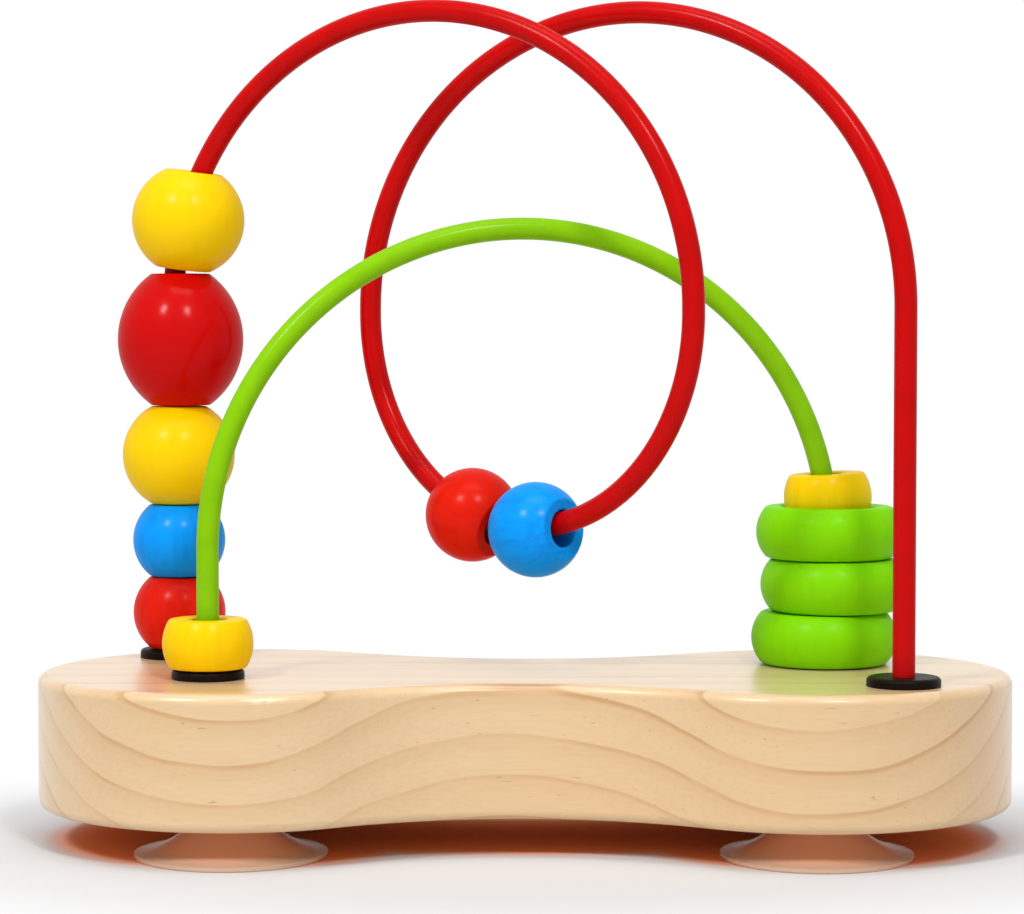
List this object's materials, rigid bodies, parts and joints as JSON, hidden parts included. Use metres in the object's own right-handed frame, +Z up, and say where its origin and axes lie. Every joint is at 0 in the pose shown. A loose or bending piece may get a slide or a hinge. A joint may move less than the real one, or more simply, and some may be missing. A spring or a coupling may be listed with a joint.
{
  "type": "bead maze",
  "caption": "Bead maze toy: waisted wooden base on suction cups, bent sleeved wires forming arches and a hanging loop, and turned wooden beads and rings that travel along them.",
  "frame": {"origin": "on the table, under the middle of the base", "axes": "+X to the right along the base's length, +Y to the back, +Z up"},
  "size_m": [0.21, 0.087, 0.1808],
  "materials": {
    "pine": "clear lacquer, satin to gloss",
    "steel": "drawn wire",
    "red_sleeve": "gloss",
    "lime_sleeve": "gloss",
    "black_bush": "satin moulded",
    "clear_cup": "translucent soft moulding",
    "orange_red_paint": "gloss lacquer on turned wood",
    "red_paint": "gloss lacquer on turned wood",
    "yellow_paint": "gloss lacquer on turned wood",
    "blue_paint": "gloss lacquer on turned wood",
    "lime_paint": "gloss lacquer on turned wood"
  },
  "bodies": {
    "base": {"base_board": "pine", "red_wire_core": "steel", "red_wire_sleeve": "red_sleeve", "green_wire_core": "steel", "green_wire_sleeve": "lime_sleeve", "rear_left_bush": "black_bush", "front_right_bush": "black_bush", "front_left_bush": "black_bush", "rear_right_bush": "black_bush", "front_left_suction_cup": "clear_cup", "front_right_suction_cup": "clear_cup", "rear_left_suction_cup": "clear_cup", "rear_right_suction_cup": "clear_cup"},
    "column_foot_red_bead": {"column_foot_red_bead": "orange_red_paint"},
    "column_blue_bead": {"column_blue_bead": "blue_paint"},
    "column_yellow_bead": {"column_yellow_bead": "yellow_paint"},
    "column_large_red_bead": {"column_large_red_bead": "red_paint"},
    "column_top_yellow_bead": {"column_top_yellow_bead": "yellow_paint"},
    "loop_red_bead": {"loop_red_bead": "orange_red_paint"},
    "loop_blue_bead": {"loop_blue_bead": "blue_paint"},
    "left_flat_yellow_bead": {"left_flat_yellow_bead": "yellow_paint"},
    "right_flat_yellow_bead": {"right_flat_yellow_bead": "yellow_paint"},
    "lower_green_ring": {"lower_green_ring": "lime_paint"},
    "middle_green_ring": {"middle_green_ring": "lime_paint"},
    "upper_green_ring": {"upper_green_ring": "lime_paint"}
  },
  "joints": [
    {"name": "column_lift", "type": "slide", "parent": "base", "child": "column_foot_red_bead", "axis": [0, 0, 1], "range_m": [0, 0.03]},
    {"name": "column_blue_lift", "type": "slide", "parent": "base", "child": "column_blue_bead", "axis": [0, 0, 1], "range_m": [0, 0.03]},
    {"name": "column_yellow_lift", "type": "slide", "parent": "base", "child": "column_yellow_bead", "axis": [0, 0, 1], "range_m": [0, 0.03]},
    {"name": "column_large_lift", "type": "hinge", "parent": "base", "child": "column_large_red_bead", "pos_m": [-0.022, -0.002, 0.1149], "axis": [0.4409, 0.8976, 0], "range_deg": [0, 30.8]},
    {"name": "top_yellow_travel", "type": "hinge", "parent": "column_large_red_bead", "child": "column_top_yellow_bead", "pos_m": [-0.022, -0.002, 0.1149], "axis": [0.4409, 0.8976, 0], "range_deg": [0, 118]},
    {"name": "loop_blue_travel", "type": "hinge", "parent": "base", "child": "loop_blue_bead", "pos_m": [0, 0, 0.1139], "axis": [-0.6508, -0.7593, 0], "range_deg": [0, 70]},
    {"name": "loop_red_travel", "type": "hinge", "parent": "base", "child": "loop_red_bead", "pos_m": [0, 0, 0.1139], "axis": [-0.6508, -0.7593, 0], "range_deg": [-55, 0]},
    {"name": "left_flat_lift", "type": "slide", "parent": "base", "child": "left_flat_yellow_bead", "axis": [0, 0, 1], "range_m": [0, 0.022]},
    {"name": "ring_lift", "type": "slide", "parent": "base", "child": "lower_green_ring", "axis": [0, 0, 1], "range_m": [0, 0.02]},
    {"name": "middle_ring_lift", "type": "slide", "parent": "base", "child": "middle_green_ring", "axis": [0, 0, 1], "range_m": [0, 0.02]},
    {"name": "upper_ring_lift", "type": "hinge", "parent": "base", "child": "upper_green_ring", "pos_m": [0, 0, 0.0635], "axis": [0.2101, -0.9777, 0], "range_deg": [0, 21.3]},
    {"name": "right_flat_travel", "type": "hinge", "parent": "upper_green_ring", "child": "right_flat_yellow_bead", "pos_m": [0, 0, 0.0635], "axis": [0.2101, -0.9777, 0], "range_deg": [0, 134]}
  ],
  "couplings": [
    {"joint": "column_blue_lift", "follows": "column_lift", "ratio": 1},
    {"joint": "column_yellow_lift", "follows": "column_lift", "ratio": 1},
    {"joint": "column_large_lift", "follows": "column_lift", "rad_per_m": 17.86},
    {"joint": "middle_ring_lift", "follows": "ring_lift", "ratio": 1},
    {"joint": "upper_ring_lift", "follows": "ring_lift", "rad_per_m": 18.5}
  ]
}
